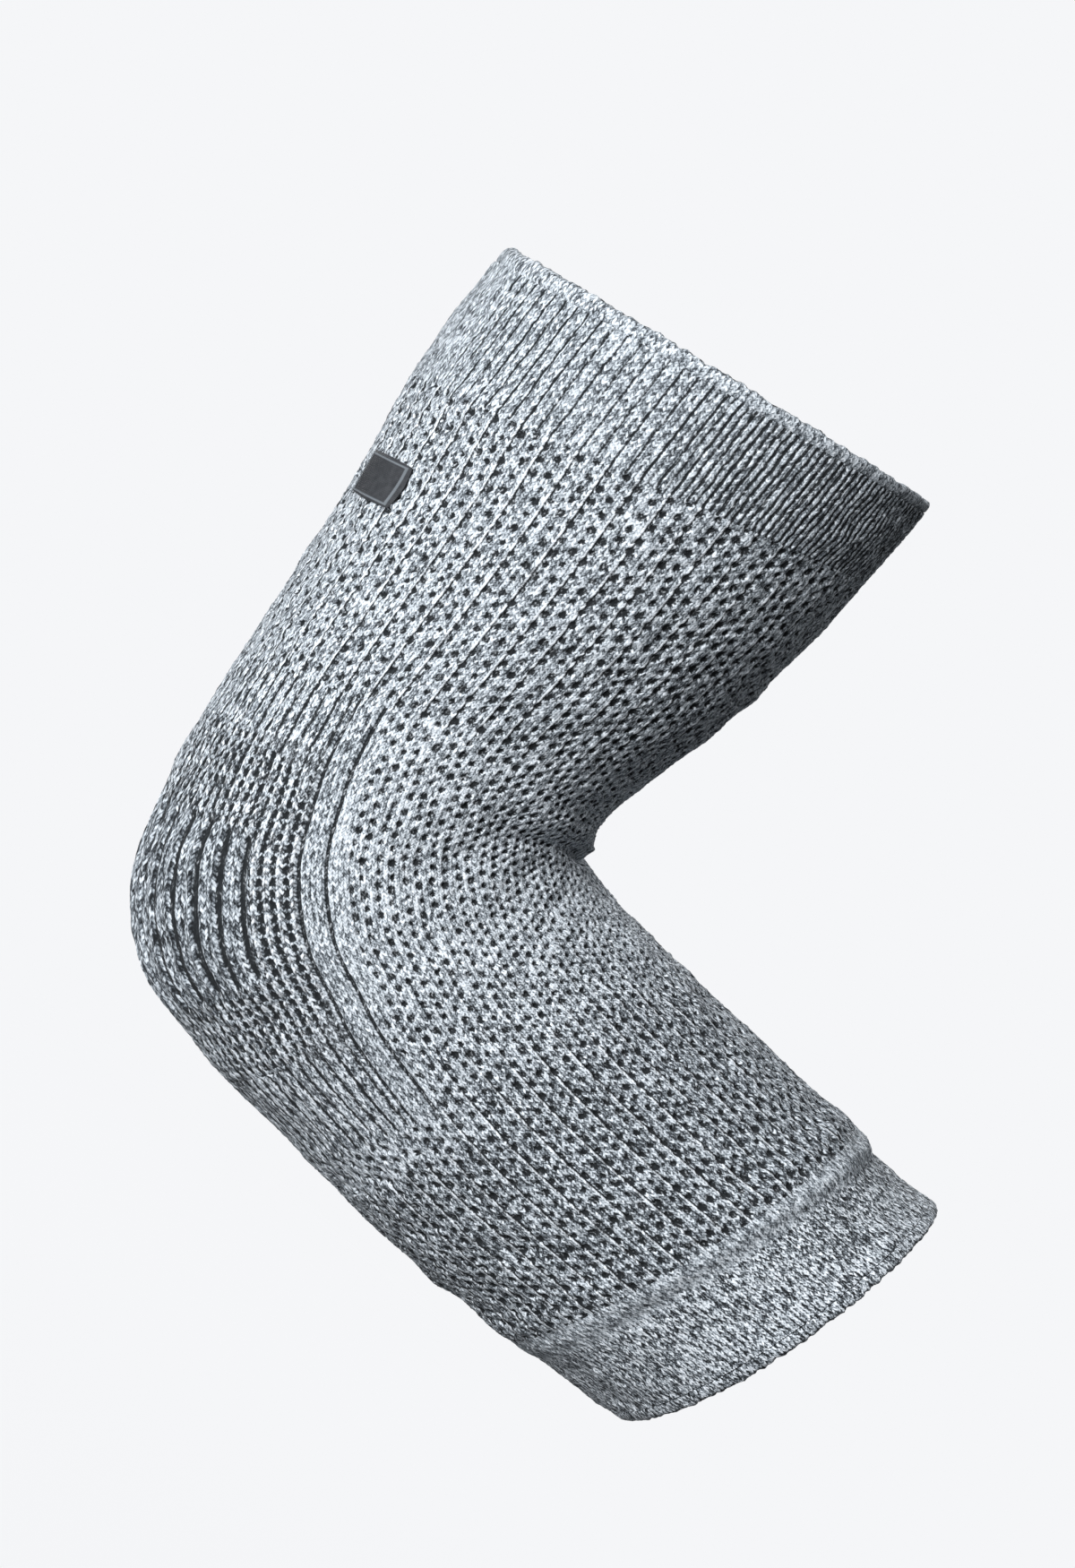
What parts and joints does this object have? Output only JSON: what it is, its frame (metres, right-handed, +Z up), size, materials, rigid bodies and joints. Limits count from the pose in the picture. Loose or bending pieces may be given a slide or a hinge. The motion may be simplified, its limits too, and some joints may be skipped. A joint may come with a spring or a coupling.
{
  "type": "elbow compression sleeve",
  "caption": "Knitted elbow compression sleeve, bent to a right angle, with mesh arm panels, ribbed cuffs and a cushioned ribbed pad over the point of the elbow.",
  "frame": {"origin": "below the middle of the sleeve's bounding box, on the plane that its forearm part rests on", "axes": "+Z up along the upper arm towards its opening, +X along the forearm towards its opening, +Y across the arm; Y = 0 is the plane of symmetry"},
  "size_m": [0.1988, 0.093, 0.1943],
  "materials": {
    "heather_knit": "matte heather knit, grey yarn with pale and near-black flecks",
    "pale_knit": "matte heather knit, paler and denser",
    "lining_knit": "plain matte knit",
    "elastic": "woven elastic",
    "silicone": "satin translucent silicone",
    "foam": "matte foam rubber",
    "patch": "satin heat-pressed film"
  },
  "bodies": {
    "upper_sleeve": {"upper_cuff_hem": "pale_knit", "upper_cuff": "pale_knit", "upper_cuff_elastic": "elastic", "upper_cuff_lining": "pale_knit", "upper_grip_strip_1": "silicone", "upper_grip_strip_2": "silicone", "upper_grip_strip_3": "silicone", "upper_arm_panel": "heather_knit", "blank_patch": "patch"},
    "elbow_pad": {"back_rib_panel_upper": "heather_knit", "back_rib_panel_lower": "heather_knit", "border_band_left": "pale_knit", "border_band_right": "pale_knit", "waffle_surround": "heather_knit", "rib_pad": "heather_knit", "pad_insert": "foam", "pad_lining": "lining_knit", "inner_elbow_panel": "heather_knit"},
    "forearm_sleeve": {"forearm_panel": "heather_knit", "forearm_band": "pale_knit", "lower_cuff": "heather_knit", "lower_cuff_elastic": "elastic", "lower_cuff_lining": "heather_knit", "lower_grip_strip_1": "silicone", "lower_grip_strip_2": "silicone", "lower_cuff_hem": "heather_knit"}
  },
  "joints": [
    {"name": "upper_bend", "type": "hinge", "parent": "upper_sleeve", "child": "elbow_pad", "pos_m": [-0.05175, 0, 0.0648], "axis": [0, -1, 0], "range_deg": [-43, 22], "deforming": ["upper_arm_panel", "back_rib_panel_upper", "border_band_left", "border_band_right", "inner_elbow_panel"]},
    {"name": "lower_bend", "type": "hinge", "parent": "elbow_pad", "child": "forearm_sleeve", "pos_m": [-0.03175, 0, 0.0448], "axis": [0, -1, 0], "range_deg": [-43, 22], "deforming": ["forearm_panel", "back_rib_panel_lower"]}
  ],
  "couplings": [
    {"joint": "lower_bend", "follows": "upper_bend", "ratio": 1}
  ]
}
